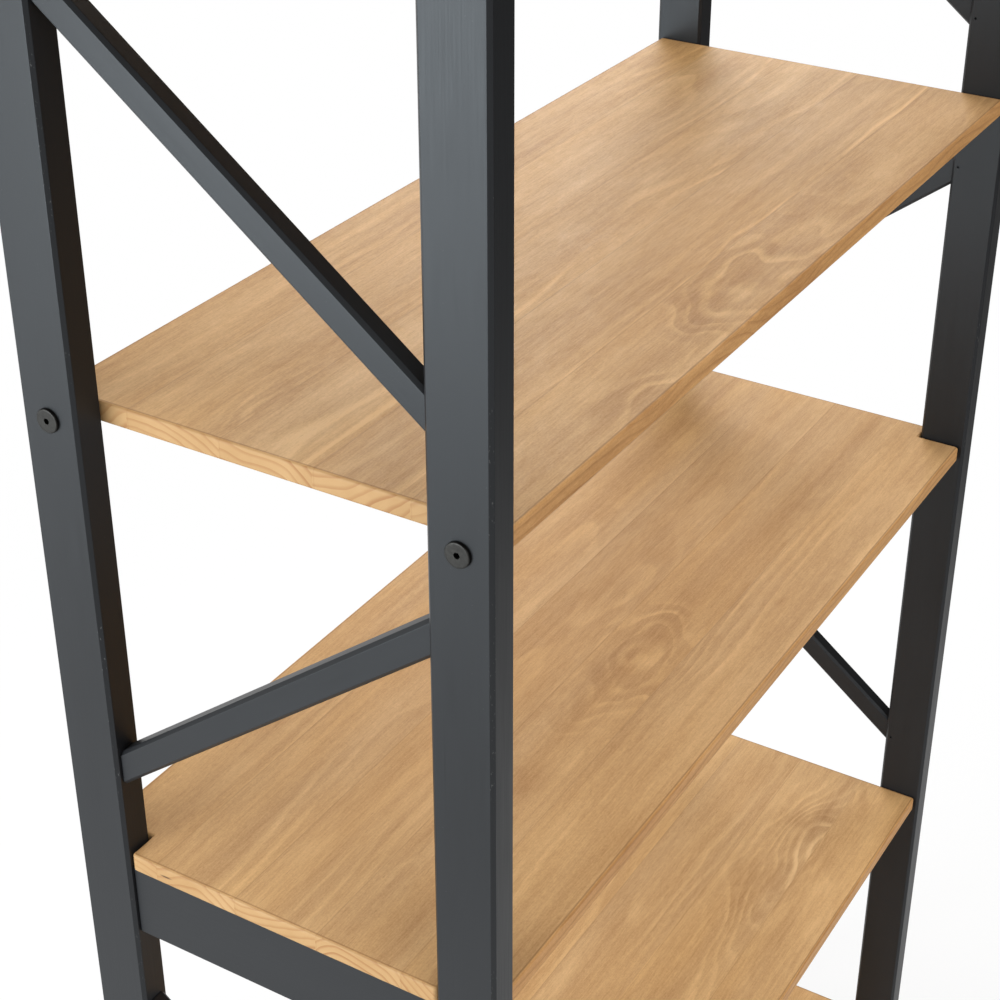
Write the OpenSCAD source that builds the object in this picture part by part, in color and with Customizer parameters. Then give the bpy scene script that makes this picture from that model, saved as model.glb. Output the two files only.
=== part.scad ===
// Free-standing bookcase: two black end frames of posts, rails and slanted braces,
// joined by five edge-glued pine shelves. Three shelves are notched round the posts
// and rest on the rails; two are bolted between the posts.
// Millimetres. X runs along the shelves, Y from front to back, Z up.
// The origin is on the floor, under the middle of the bookcase.

/* [Overall] */
// Width across the outer faces of the posts
width = 900; // [700:10:1200]
// Depth across the front and back faces of the posts
depth = 350; // [280:10:450]
// Height of the posts, flush with the top shelf
height = 1750; // [1500:10:2100]
// Height of the bottom shelf's upper face
bottom_level = 176; // [130:2:300]
// Distance from the middle of a bay down to the bolted shelf's upper face
bolted_drop = 3.5; // [0:0.5:10]

/* [Posts] */
// Size of a post along X
post_x = 25; // [22:1:40]
// Size of a post along Y
post_y = 45; // [40:1:60]
// Chamfer along the long edges of a post
post_ease = 2.5; // [1:0.5:4]
// Chamfer round the two ends of a post
post_end_ease = 1.5; // [0.5:0.5:3]

/* [Shelves] */
// Thickness of every shelf
shelf_t = 15; // [14:1:25]
// Radius of the upper and lower edges of a shelf
shelf_edge_round = 2; // [1:0.5:4]
// Radius of a shelf's corners, seen from above
shelf_corner_round = 3; // [2.5:0.5:8]
// Setback of the shelves' long edges from the posts' front and back faces
shelf_setback = 5; // [0:0.5:12]
// Setback of a notched shelf's ends from the posts' outer faces
end_setback = 2.5; // [1:0.5:4]
// Gap between a notch and its post
notch_gap = 1.5; // [0.5:0.25:3]
// Gap between the end of a bolted shelf and its posts
butt_gap = 0.25; // [0.1:0.05:0.3]

/* [Rails and braces] */
// Thickness of the rails and braces along X
stock_t = 16; // [14:1:18]
// Chamfer along the long edges of a rail
rail_ease = 1; // [0.5:0.5:4]
// Chamfer along the long edges of a brace
brace_ease = 2.5; // [1:0.5:4]
// Height of a rail
rail_h = 60; // [50:1:80]
// Width of a brace, square to its length
brace_w = 22.5; // [18:0.5:30]
// Distance from a bolted shelf's upper face down to the middle of its pair of braces
pair_drop = 1.5; // [0:0.5:8]
// Distance along Z from the middle of the pair to a brace's own middle, at the front post
brace_front_rise = 74; // [55:1:100]
// Distance along Z from the end of the bay to a brace's middle, at the back post
brace_back_gap = 79; // [60:0.5:110]

/* [Tenons and pins] */
// Thickness of a tenon along X
tenon_t = 8; // [6:1:10]
// Length of a tenon along Y
tenon_len = 12; // [10:1:20]
// Height of a rail's tenon
rail_tenon_h = 36; // [30:1:44]
// Width of a brace's tenon, square to the brace
brace_tenon_w = 14; // [10:1:16]
// Gap round a tenon in its mortise
mortise_gap = 0.15; // [0.05:0.05:0.4]
// Room past the end of a tenon
mortise_end_gap = 0.5; // [0.2:0.1:2]
// Diameter of a pin's shank
pin_d = 1.4; // [1:0.1:2]
// Diameter of a pin's head
pin_head_d = 2.2; // [2.2:0.1:3]
// Thickness of a pin's head
pin_head_t = 0.8; // [0.5:0.1:1.2]
// Distance that a pin's tip passes its tenon
pin_past_tenon = 1.7; // [0.5:0.1:3]
// Depth of a pin's head under the face of the post
pin_sink = 1.2; // [0.5:0.1:2]
// Distance from the post's inner Y face to a pin
pin_inset = 6; // [5:0.5:7]
// Distance between the two pins of a rail's tenon
rail_pin_spacing = 20; // [14:1:24]

/* [Shelf bolts and barrel nuts] */
// Diameter of a bolt's shank
bolt_d = 6; // [5:0.5:7]
// Distance that a bolt's tip passes its barrel nut
bolt_past_nut = 1.7; // [0.5:0.1:4]
// Diameter of a bolt's head
bolt_head_d = 17; // [14:0.5:20]
// Thickness of a bolt's head
bolt_head_t = 2.4; // [1.8:0.1:3.5]
// Chamfer round a bolt's head
bolt_head_ease = 0.8; // [0.3:0.1:1.2]
// Width across the flats of a bolt's hex socket
hex_af = 4; // [3:0.5:5]
// Depth of a bolt's hex socket
hex_depth = 3; // [2:0.25:4]
// Room round a bolt in the posts and shelves
bolt_gap = 0.4; // [0.2:0.1:0.8]
// Room past the tip of a bolt in its shelf
bolt_tip_gap = 3; // [1:1:8]
// Diameter of a barrel nut
nut_d = 10; // [9:0.5:12]
// Length of a barrel nut
nut_len = 10; // [8:0.5:11]
// Gap round a barrel nut in its hole
nut_gap = 0.15; // [0.05:0.05:0.3]
// Distance from the end of a bolted shelf to its barrel nuts
nut_inset = 28; // [22:1:32]
// Width of the screwdriver slot in a barrel nut
nut_slot_w = 1.4; // [1:0.1:2]
// Depth of the screwdriver slot in a barrel nut
nut_slot_depth = 1.5; // [0.5:0.25:2]

/* [Rail screws] */
// Diameter of a rail screw
screw_d = 4; // [3.5:0.5:5]
// Length of a rail screw under its head
screw_len = 45; // [30:1:48]
// Depth of a rail screw in its shelf
screw_bite = 11; // [6:1:12]
// Diameter of a rail screw's head
screw_head_d = 8; // [6:0.5:9]
// Thickness of a rail screw's head
screw_head_t = 2.6; // [2:0.1:3.5]
// Gap round a rail screw in its rail
screw_gap = 0.25; // [0.1:0.05:0.5]
// Distance along Y from the middle of a rail to each screw
screw_offset = 75; // [40:5:90]

/* [Hidden] */
$fn = 48;

// Paint, stain and metal colours
frame_paint = [0.15, 0.155, 0.16];
pine_stain = [0.80, 0.63, 0.41];
bolt_bronze = [0.20, 0.19, 0.17];
zinc = [0.70, 0.70, 0.68];

LEFT = -1;
RIGHT = 1;
FRONT = -1;
BACK = 1;
UP = 1;
DOWN = -1;
// Overrun that lets a cutting tool pass clear of the face that it opens
cut = 1;
// Running gap between a fastener's metal and the hole that holds it
snug = 0.05;

// Levels of the shelves' upper faces
middle_level = (height + bottom_level) / 2;
bay = (height - bottom_level) / 2 - shelf_t - rail_h;
lower_level = bottom_level + bay / 2 - bolted_drop;
upper_level = middle_level + bay / 2 - bolted_drop;
fixed_levels = [bottom_level, middle_level, height];
bolted_levels = [lower_level, upper_level];

// End frame, seen along X
span = depth - 2 * post_y;
brace_back_rise = bay / 2 - brace_back_gap;
brace_angle = atan((brace_back_rise - brace_front_rise) / span);
frame_mid_x = width / 2 - post_x / 2;
post_mid_y = depth / 2 - post_y / 2;
mortise_len = tenon_len + mortise_end_gap;
pin_y = span / 2 + pin_inset;
pin_len = post_x / 2 + tenon_t / 2 + pin_past_tenon - pin_sink;

// Shelves
bolted_length = width - 2 * post_x - 2 * butt_gap;
notched_length = width - 2 * end_setback;
shelf_depth = depth - 2 * shelf_setback;
notched_inner_length = width - 2 * post_x - 2 * notch_gap;
notched_inner_depth = span - 2 * notch_gap;

// Fasteners
bolt_hole_d = bolt_d + 2 * bolt_gap;
bolt_axis = shelf_t / 2;
nut_x = bolted_length / 2 - nut_inset;
bolt_len = post_x + butt_gap + nut_inset + nut_d / 2 + bolt_past_nut;
bolt_bore_len = bolt_len - post_x - butt_gap + bolt_tip_gap;
screw_hole_d = screw_d + 2 * screw_gap;
counterbore_d = screw_head_d + 2 * screw_gap;
counterbore_len = rail_h - (screw_len - screw_bite);
recess_cross_w = screw_head_d / 5;
recess_cross_len = screw_head_d / 1.8;
recess_cross_depth = screw_head_t * 0.7;

// ---- Shared shapes ----

// Rectangle centred on the origin, with true arcs at its corners
module round_rect(size_x, size_y, radius) {
    square([size_x - 2 * radius, size_y], center = true);
    square([size_x, size_y - 2 * radius], center = true);
    for (sx = [-1, 1], sy = [-1, 1])
        translate([sx * (size_x / 2 - radius), sy * (size_y / 2 - radius)])
            circle(r = radius);
}

// Slot shape with round ends, upright and centred on the origin
module stadium(size_x, size_y) {
    square([size_x, size_y - size_x], center = true);
    for (sy = [-1, 1])
        translate([0, sy * (size_y - size_x) / 2]) circle(d = size_x);
}

// Rectangle centred on the origin, with its corners cut at 45 degrees
module eased_rect(size_x, size_y, ease) {
    hx = size_x / 2;
    hy = size_y / 2;
    polygon([
        [ease - hx, -hy], [hx - ease, -hy], [hx, ease - hy], [hx, hy - ease],
        [hx - ease, hy], [ease - hx, hy], [-hx, hy - ease], [-hx, ease - hy]]);
}

// Extrusions centred on the origin, along X and along Y; the outline's second axis is Z
module along_x(length) {
    rotate([90, 0, 90]) linear_extrude(length, center = true) children();
}

module along_y(length) {
    rotate([90, 0, 0]) linear_extrude(length, center = true) children();
}

// Board with rounded edges and corners; its upper face is at z = 0
module eased_board(length, board_depth) {
    translate([0, 0, -shelf_t / 2])
        intersection() {
            along_x(length) round_rect(board_depth, shelf_t, shelf_edge_round);
            along_y(board_depth) round_rect(length, shelf_t, shelf_edge_round);
            linear_extrude(shelf_t, center = true)
                round_rect(length, board_depth, shelf_corner_round);
        }
}

// Places its children in the end frame on one side
module at_frame(side) {
    translate([side * frame_mid_x, 0, 0]) children();
}

// Turns a bar that lies along Y to its slope and height in the end frame
module slope(mid_z, angle) {
    translate([0, 0, mid_z]) rotate([angle, 0, 0]) children();
}

// Everything within a distance of the middle of the frame along Y
module within_y(half_length) {
    intersection() {
        children();
        cube([post_x + 2 * cut, 2 * half_length, 2 * height], center = true);
    }
}

// Tenon through the whole length of a bar, with room round it when it cuts a mortise
module tenon_bar(tenon_w, gap) {
    along_y(2 * depth) stadium(tenon_t + 2 * gap, tenon_w + 2 * gap);
}

// ---- Braces and rails ----

// Height of a brace's middle and its slope, above or below a bolted shelf
function brace_mid(level, way) =
    level - pair_drop + way * (brace_front_rise + brace_back_rise) / 2;
function brace_slope(way) = way * brace_angle;
function rail_mid(level) = level - shelf_t - rail_h / 2;

// Heights of the pins at one end of a brace
function brace_pin_z(level, way, end) =
    brace_mid(level, way) + end * pin_y * tan(brace_slope(way));

// A bar of the end frame with a tenon at each end
module frame_bar(mid_z, angle, bar_w, bar_ease, tenon_w) {
    within_y(span / 2)
        slope(mid_z, angle)
            along_y(2 * depth) eased_rect(stock_t, bar_w, bar_ease);
    within_y(span / 2 + tenon_len)
        slope(mid_z, angle) tenon_bar(tenon_w, 0);
}

// The mortises of one bar
module mortises(mid_z, angle, tenon_w) {
    within_y(span / 2 + mortise_len)
        slope(mid_z, angle) tenon_bar(tenon_w, mortise_gap);
}

// One pin, with its head towards the inside of the bookcase and its tip outwards
module pin(side, end, z) {
    translate([side * (post_x / -2 + pin_sink), end * pin_y, z])
        rotate([0, side * 90, 0]) {
            cylinder(d = pin_head_d, h = pin_head_t);
            cylinder(d = pin_d, h = pin_len);
        }
}

// The hole of one pin, open on the inside of the post
module pin_hole(side, end, z) {
    translate([side * (post_x / -2 - cut), end * pin_y, z])
        rotate([0, side * 90, 0]) {
            cylinder(d = pin_head_d + 2 * snug, h = cut + pin_sink + pin_head_t + snug);
            cylinder(d = pin_d + 2 * snug, h = cut + pin_sink + pin_len + snug);
        }
}

// Repeats its children at the pins of a brace: $pin_end and $pin_z give the place
module brace_pins(level, way) {
    for (end = [FRONT, BACK]) {
        $pin_end = end;
        $pin_z = brace_pin_z(level, way, end);
        children();
    }
}

module rail_pins(level) {
    for (end = [FRONT, BACK], row = [-1, 1]) {
        $pin_end = end;
        $pin_z = rail_mid(level) + row * rail_pin_spacing / 2;
        children();
    }
}

module brace(side, level, way) {
    color(frame_paint)
        at_frame(side)
            difference() {
                frame_bar(brace_mid(level, way), brace_slope(way),
                    brace_w, brace_ease, brace_tenon_w);
                brace_pins(level, way) pin_hole(side, $pin_end, $pin_z);
            }
}

// Screw hole in a rail, opened by a counterbore from below
module rail_screw_hole(level) {
    translate([0, 0, level - shelf_t - rail_h - cut]) {
        cylinder(d = screw_hole_d, h = rail_h + 2 * cut);
        cylinder(d = counterbore_d, h = counterbore_len + cut);
    }
}

module rail(side, level) {
    color(frame_paint)
        at_frame(side)
            difference() {
                frame_bar(rail_mid(level), 0, rail_h, rail_ease, rail_tenon_h);
                rail_pins(level) pin_hole(side, $pin_end, $pin_z);
                for (row = [-1, 1])
                    translate([0, row * screw_offset, 0]) rail_screw_hole(level);
            }
}

// ---- Posts ----

module post_blank() {
    translate([0, 0, height / 2])
        intersection() {
            linear_extrude(height, center = true) eased_rect(post_x, post_y, post_ease);
            along_x(post_x) eased_rect(post_y, height, post_end_ease);
            along_y(post_y) eased_rect(post_x, height, post_end_ease);
        }
}

module post_bolt_hole(level) {
    translate([0, 0, level - bolt_axis]) rotate([0, 90, 0])
        cylinder(d = bolt_hole_d, h = post_x + 2 * cut, center = true);
}

module post(side, end) {
    color(frame_paint)
        at_frame(side)
            difference() {
                translate([0, end * post_mid_y, 0]) post_blank();
                for (level = fixed_levels) {
                    mortises(rail_mid(level), 0, rail_tenon_h);
                    rail_pins(level) pin_hole(side, $pin_end, $pin_z);
                }
                for (level = bolted_levels) {
                    for (way = [DOWN, UP]) {
                        mortises(brace_mid(level, way), brace_slope(way), brace_tenon_w);
                        brace_pins(level, way) pin_hole(side, $pin_end, $pin_z);
                    }
                    translate([0, end * post_mid_y, 0]) post_bolt_hole(level);
                }
            }
}

// ---- Shelves ----

// Places its children at the four rail screws of a notched shelf, on its underside
module at_rail_screws() {
    for (side = [LEFT, RIGHT], row = [-1, 1])
        translate([side * frame_mid_x, row * screw_offset, -shelf_t]) children();
}

// Shelf that is notched round the four posts and screwed to the rails
module notched_shelf(level) {
    color(pine_stain)
        translate([0, 0, level])
            difference() {
                union() {
                    eased_board(notched_inner_length, shelf_depth);
                    eased_board(notched_length, notched_inner_depth);
                }
                at_rail_screws()
                    translate([0, 0, -cut])
                        cylinder(d = screw_d + 2 * snug, h = cut + screw_bite + snug);
            }
}

// Bore for a bolt from one end of a shelf, met by the hole of its barrel nut
module bolt_bores(side, end) {
    translate([side * (bolted_length / 2 + cut), end * post_mid_y, -bolt_axis])
        rotate([0, side * -90, 0])
            cylinder(d = bolt_hole_d, h = bolt_bore_len + cut);
    translate([side * nut_x, end * post_mid_y, -shelf_t - cut])
        cylinder(d = nut_d + 2 * nut_gap, h = cut + bolt_axis + nut_len / 2 + nut_gap);
}

// Shelf that sits between the end frames and is bolted to the four posts
module bolted_shelf(level) {
    color(pine_stain)
        translate([0, 0, level])
            difference() {
                eased_board(bolted_length, shelf_depth);
                for (side = [LEFT, RIGHT], end = [FRONT, BACK]) bolt_bores(side, end);
            }
}

// ---- Fasteners ----

// Bolt along +X with the underside of its head at the origin
module bolt() {
    rotate([0, 90, 0])
        difference() {
            rotate_extrude()
                polygon([
                    [0, -bolt_head_t],
                    [bolt_head_d / 2 - bolt_head_ease, -bolt_head_t],
                    [bolt_head_d / 2, bolt_head_ease - bolt_head_t],
                    [bolt_head_d / 2, 0],
                    [bolt_d / 2, 0],
                    [bolt_d / 2, bolt_len - bolt_head_ease],
                    [bolt_d / 2 - bolt_head_ease, bolt_len],
                    [0, bolt_len]]);
            translate([0, 0, -bolt_head_t - cut])
                cylinder(d = hex_af / cos(30), h = cut + hex_depth, $fn = 6);
        }
}

module shelf_bolts(side) {
    color(bolt_bronze)
        for (level = bolted_levels, end = [FRONT, BACK])
            translate([side * width / 2, end * post_mid_y, level - bolt_axis])
                mirror([side > 0 ? 1 : 0, 0, 0]) bolt();
}

// Barrel nut, upright, with its middle at the origin and its slot below
module barrel_nut() {
    difference() {
        cylinder(d = nut_d, h = nut_len, center = true);
        rotate([0, 90, 0])
            cylinder(d = bolt_d + 2 * snug, h = nut_d + 2 * cut, center = true);
        translate([0, 0, -nut_len / 2])
            cube([nut_d + 2 * cut, nut_slot_w, 2 * nut_slot_depth], center = true);
    }
}

module barrel_nuts() {
    color(zinc)
        for (level = bolted_levels, side = [LEFT, RIGHT], end = [FRONT, BACK])
            translate([side * nut_x, end * post_mid_y, level - bolt_axis]) barrel_nut();
}

// Screw pointing up, with the underside of its head at the origin
module rail_screw() {
    difference() {
        translate([0, 0, -screw_head_t]) cylinder(d = screw_head_d, h = screw_head_t);
        for (turn = [0, 90])
            rotate([0, 0, turn])
                translate([0, 0, -screw_head_t])
                    cube([recess_cross_len, recess_cross_w, 2 * recess_cross_depth],
                        center = true);
    }
    cylinder(d = screw_d, h = screw_len);
}

module rail_screws() {
    color(zinc)
        for (level = fixed_levels)
            translate([0, 0, level])
                at_rail_screws() translate([0, 0, screw_bite - screw_len]) rail_screw();
}

module frame_pins(side) {
    color(zinc)
        at_frame(side) {
            for (level = fixed_levels)
                rail_pins(level) pin(side, $pin_end, $pin_z);
            for (level = bolted_levels, way = [DOWN, UP])
                brace_pins(level, way) pin(side, $pin_end, $pin_z);
        }
}

// ---- Sub-parts ----

module post_front_left() post(LEFT, FRONT);
module post_front_right() post(RIGHT, FRONT);
module post_back_left() post(LEFT, BACK);
module post_back_right() post(RIGHT, BACK);

module top_rail_left() rail(LEFT, height);
module top_rail_right() rail(RIGHT, height);
module middle_rail_left() rail(LEFT, middle_level);
module middle_rail_right() rail(RIGHT, middle_level);
module bottom_rail_left() rail(LEFT, bottom_level);
module bottom_rail_right() rail(RIGHT, bottom_level);

module upper_brace_high_left() brace(LEFT, upper_level, UP);
module upper_brace_high_right() brace(RIGHT, upper_level, UP);
module upper_brace_low_left() brace(LEFT, upper_level, DOWN);
module upper_brace_low_right() brace(RIGHT, upper_level, DOWN);
module lower_brace_high_left() brace(LEFT, lower_level, UP);
module lower_brace_high_right() brace(RIGHT, lower_level, UP);
module lower_brace_low_left() brace(LEFT, lower_level, DOWN);
module lower_brace_low_right() brace(RIGHT, lower_level, DOWN);

module top_shelf() notched_shelf(height);
module upper_shelf() bolted_shelf(upper_level);
module middle_shelf() notched_shelf(middle_level);
module lower_shelf() bolted_shelf(lower_level);
module bottom_shelf() notched_shelf(bottom_level);

module shelf_bolts_left() shelf_bolts(LEFT);
module shelf_bolts_right() shelf_bolts(RIGHT);
module frame_pins_left() frame_pins(LEFT);
module frame_pins_right() frame_pins(RIGHT);

post_front_left();
post_front_right();
post_back_left();
post_back_right();
top_rail_left();
top_rail_right();
middle_rail_left();
middle_rail_right();
bottom_rail_left();
bottom_rail_right();
upper_brace_high_left();
upper_brace_high_right();
upper_brace_low_left();
upper_brace_low_right();
lower_brace_high_left();
lower_brace_high_right();
lower_brace_low_left();
lower_brace_low_right();
top_shelf();
upper_shelf();
middle_shelf();
lower_shelf();
bottom_shelf();
shelf_bolts_left();
shelf_bolts_right();
barrel_nuts();
rail_screws();
frame_pins_left();
frame_pins_right();
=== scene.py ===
import math

import bmesh
import bpy
from bpy.props import FloatProperty, FloatVectorProperty, IntProperty, PointerProperty
from mathutils import Matrix, Vector


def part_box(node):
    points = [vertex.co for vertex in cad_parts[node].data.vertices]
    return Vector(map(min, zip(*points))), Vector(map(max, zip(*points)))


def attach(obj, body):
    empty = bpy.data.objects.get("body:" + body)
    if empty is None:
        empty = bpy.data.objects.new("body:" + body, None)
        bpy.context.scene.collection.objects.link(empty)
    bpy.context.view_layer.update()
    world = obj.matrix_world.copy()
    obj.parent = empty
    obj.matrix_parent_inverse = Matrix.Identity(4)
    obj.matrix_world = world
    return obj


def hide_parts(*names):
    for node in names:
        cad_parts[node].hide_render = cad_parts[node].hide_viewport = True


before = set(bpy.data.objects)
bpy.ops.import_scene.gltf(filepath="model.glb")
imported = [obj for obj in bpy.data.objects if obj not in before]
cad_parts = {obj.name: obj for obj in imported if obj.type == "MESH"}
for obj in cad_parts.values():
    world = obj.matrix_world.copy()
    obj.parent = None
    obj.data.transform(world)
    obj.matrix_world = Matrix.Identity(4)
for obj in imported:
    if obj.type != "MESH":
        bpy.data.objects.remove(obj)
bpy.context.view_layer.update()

bl_info = {
    "name": "Pine and Charcoal Bookcase",
    "version": (1, 0, 0),
    "blender": (4, 5, 0),
    "location": "View3D > Sidebar > Bookcase",
    "description": "Dresses a bookcase with painted end frames, pine shelves and dark bolts",
    "category": "Object",
}

MM = 0.001
LEFT, RIGHT = -1, 1
FRONT, BACK = -1, 1
DOWN, UP = -1, 1
SIDE_NAMES = {LEFT: "left", RIGHT: "right"}
END_NAMES = {FRONT: "front", BACK: "back"}
CORNERS = [(side, end) for side in (LEFT, RIGHT) for end in (FRONT, BACK)]

# ---- Where things are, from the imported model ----

POST_LOW, POST_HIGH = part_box("post_front_left")
OUTER_X = -POST_LOW.x
INNER_X = -POST_HIGH.x
OUTER_Y = -POST_LOW.y
INNER_Y = -POST_HIGH.y
POST_MID_X = (OUTER_X + INNER_X) / 2
POST_MID_Y = (OUTER_Y + INNER_Y) / 2
TOP_Z = POST_HIGH.z
NOTCHED = ("top_shelf", "middle_shelf", "bottom_shelf")
BOLTED = ("upper_shelf", "lower_shelf")
LEVELS = {name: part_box(name)[1].z for name in NOTCHED + BOLTED}
RAIL_LEVELS = {"top": LEVELS["top_shelf"], "middle": LEVELS["middle_shelf"],
               "bottom": LEVELS["bottom_shelf"]}
PAIR_LEVELS = {"upper": LEVELS["upper_shelf"], "lower": LEVELS["lower_shelf"]}
SHELF_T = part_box("middle_shelf")[1].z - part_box("middle_shelf")[0].z
RAIL_LOW, RAIL_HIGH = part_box("middle_rail_left")
RAIL_H = RAIL_HIGH.z - RAIL_LOW.z
STOCK_T = RAIL_HIGH.x - RAIL_LOW.x
BAY = (LEVELS["top_shelf"] - LEVELS["bottom_shelf"]) / 2 - SHELF_T - RAIL_H

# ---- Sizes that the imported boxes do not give, in metres ----

POST_END_EASE = 1.5 * MM
BRACE_W = 22.5 * MM
# The two braces of a pair mirror each other about a level this far below the shelf's top
PAIR_DROP = 1.5 * MM
# A brace's middle line meets the front post this far from that level, and the back post this
# far from the end of the bay
BRACE_FRONT_RISE = 74 * MM
BRACE_BACK_GAP = 79 * MM
BRACE_ANGLE = math.atan((BAY / 2 - BRACE_BACK_GAP - BRACE_FRONT_RISE) / (2 * INNER_Y))
NOTCH_GAP = 1.5 * MM
PIN_INSET = 6 * MM
PIN_SPACING = 20 * MM
PIN_SINK = 1.2 * MM
PIN_HEAD_D = 2.2 * MM
PIN_HEAD_T = 0.8 * MM
PIN_D = 1.4 * MM
PIN_LEN = 17 * MM
PIN_PLAY = 0.05 * MM
BOLT_D = 6 * MM
BOLT_PLAY = 0.4 * MM
BORE_SPARE = 3 * MM
BOLT_HEAD_D = 17 * MM
BOLT_HEAD_T = 2.4 * MM
BOLT_LEN = 59.95 * MM
HEX_AF = 4 * MM
HEX_DEPTH = 3 * MM
NUT_D = 10 * MM
NUT_LEN = 10 * MM
NUT_PLAY = 0.15 * MM
NUT_BORE_PLAY = 0.05 * MM
NUT_SLOT_W = 1.4 * MM
NUT_SLOT_DEPTH = 1.5 * MM
NUT_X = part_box("barrel_nuts")[1].x - NUT_D / 2
SCREW_D = 4 * MM
SCREW_LEN = 45 * MM
SCREW_BITE = 11 * MM
SCREW_HEAD_D = 8 * MM
SCREW_HEAD_T = 2.6 * MM
SCREW_Y = 75 * MM
SCREW_PLAY = 0.25 * MM
JOINT_EASE = 0.6 * MM
# A tool reaches this far past the face that it cuts, and a shank this far into its head
OVERCUT = 1 * MM
LAP = 0.1 * MM

# ---- How the wood grew ----

RING_STEP = 6.5 * MM
PITH_REACH = 120 * MM
BOARD_SPAN = 200 * MM
SWIRL_STRETCH = 0.42
CRACKED_SHELF = "middle_shelf"
CRACK_Y = 98 * MM
# For each shelf: the joints across it, the (tone, pith across, pith depth) of each board between
# them from 0 to 1, and the (x, y, reach, lean) of each swirl round a covered knot
SHELF_BOARDS = {
    "top_shelf": ((-0.102, -0.030, 0.040, 0.110),
                  ((0.35, 0.20, 0.20), (0.62, 0.42, 0.80), (0.20, 0.55, 0.15),
                   (0.50, 0.62, 0.25), (0.30, 0.90, 0.75)),
                  ((-0.220, 0.075, 0.030, 0.4), (0.280, -0.066, 0.024, -0.5))),
    "upper_shelf": ((-0.104, -0.034, 0.037, 0.110),
                    ((0.50, 0.17, 0.24), (0.48, 0.38, 0.86), (0.30, 0.57, 0.12),
                     (0.36, 0.74, 0.20), (0.50, 0.93, 0.80)),
                    ((-0.095, -0.145, 0.036, -0.55), (-0.230, -0.155, 0.014, 0.2),
                     (-0.385, 0.046, 0.014, -0.5))),
    "middle_shelf": ((-0.101, -0.032, 0.037, 0.106),
                     ((0.42, 0.12, 0.80), (0.58, 0.34, 0.28), (0.42, 0.52, 0.86),
                      (0.46, 0.70, 0.14), (0.52, 0.86, 0.22)),
                     ((-0.052, -0.066, 0.034, 0.15), (-0.250, -0.062, 0.022, 0.3))),
    "lower_shelf": ((-0.112, -0.039, 0.034, 0.104),
                    ((0.45, 0.16, 0.16), (0.40, 0.33, 0.76), (0.55, 0.50, 0.18),
                     (0.35, 0.68, 0.84), (0.48, 0.88, 0.20)),
                    ((0.315, -0.092, 0.036, 0.5),)),
    "bottom_shelf": ((-0.108, -0.036, 0.033, 0.103),
                     ((0.30, 0.10, 0.25), (0.52, 0.30, 0.14), (0.38, 0.56, 0.82),
                      (0.60, 0.66, 0.18), (0.33, 0.92, 0.24)),
                     ((-0.300, 0.002, 0.028, 0.5), (0.100, -0.138, 0.030, -0.4))),
}

# ---- Tones that go with the colours in BookcaseLooks ----

# Grey of the dust specks in the paint, and of the painted highlights along the posts' chamfers
SPECK_AND_GLINT_GREY = (0.14, 0.14, 0.135, 1)
WARM_TINT = (1.04, 0.97, 0.80, 1)
PORE_BROWN = (0.20, 0.09, 0.03, 1)
END_PALE = (0.400, 0.243, 0.108, 1)
END_DEEP = (0.340, 0.195, 0.078, 1)
END_RING = (0.26, 0.118, 0.040, 1)
CRACK_BLACK = (0.035, 0.016, 0.008, 1)
EDGE_TINT = (0.98, 0.86, 0.72, 1)
EDGE_RING_TINT = (0.62, 0.46, 0.34, 1)
RIM_BROWN = (0.24, 0.11, 0.035, 1)
GLUE_BROWN = (0.24, 0.12, 0.04, 1)


class BookcaseLooks(bpy.types.PropertyGroup):
    """Sizes of the eased edges, and the colours of paint, wood and metal"""

    post_ease: FloatProperty(
        name="Post edges", description="Chamfer along a post's long edges",
        default=2.5 * MM, min=1 * MM, max=4 * MM, subtype="DISTANCE", unit="LENGTH")
    brace_ease: FloatProperty(
        name="Brace edges", description="Chamfer along a brace's long edges",
        default=2.5 * MM, min=1 * MM, max=4 * MM, subtype="DISTANCE", unit="LENGTH")
    rail_ease: FloatProperty(
        name="Rail edges", description="Chamfer along a rail's long edges",
        default=1 * MM, min=0.5 * MM, max=4 * MM, subtype="DISTANCE", unit="LENGTH")
    crisp: FloatProperty(
        name="Crisp lines", description="Radius to which the paint rounds a chamfer's own edges",
        default=0.3 * MM, min=0.1 * MM, max=1 * MM, subtype="DISTANCE", unit="LENGTH")
    shelf_round: FloatProperty(
        name="Shelf edges", description="Radius of a shelf's upper and lower edges",
        default=2 * MM, min=1 * MM, max=4 * MM, subtype="DISTANCE", unit="LENGTH")
    corner_round: FloatProperty(
        name="Shelf corners", description="Radius of a shelf's corners, seen from above",
        default=3 * MM, min=2 * MM, max=8 * MM, subtype="DISTANCE", unit="LENGTH")
    segments: IntProperty(
        name="Edge segments", description="Steps round each edge of a shelf",
        default=4, min=2, max=8)
    paint: FloatVectorProperty(
        name="Paint", description="Colour of the end frames",
        default=(0.0088, 0.0090, 0.0099), min=0, max=1, subtype="COLOR")
    pine_light: FloatVectorProperty(
        name="Pine, pale rings", description="Lightest tone of the stained pine",
        default=(0.750, 0.487, 0.236), min=0, max=1, subtype="COLOR")
    pine_dark: FloatVectorProperty(
        name="Pine, between rings", description="Darkest tone of the stained pine",
        default=(0.398, 0.212, 0.084), min=0, max=1, subtype="COLOR")
    bronze: FloatVectorProperty(
        name="Bolts", description="Colour of the bolt heads",
        default=(0.031, 0.030, 0.028), min=0, max=1, subtype="COLOR")
    zinc: FloatVectorProperty(
        name="Zinc", description="Colour of the screws and barrel nuts",
        default=(0.55, 0.55, 0.53), min=0, max=1, subtype="COLOR")


def looks():
    """The user's sizes and colours."""
    return bpy.context.scene.bookcase_looks


# ---- Mesh tools ----

TINY = 0.001 * MM
SHARP_ANGLE = math.radians(25)
SMOOTH_ANGLE = math.radians(35)
NEARLY_SQUARE = math.radians(80)


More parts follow.
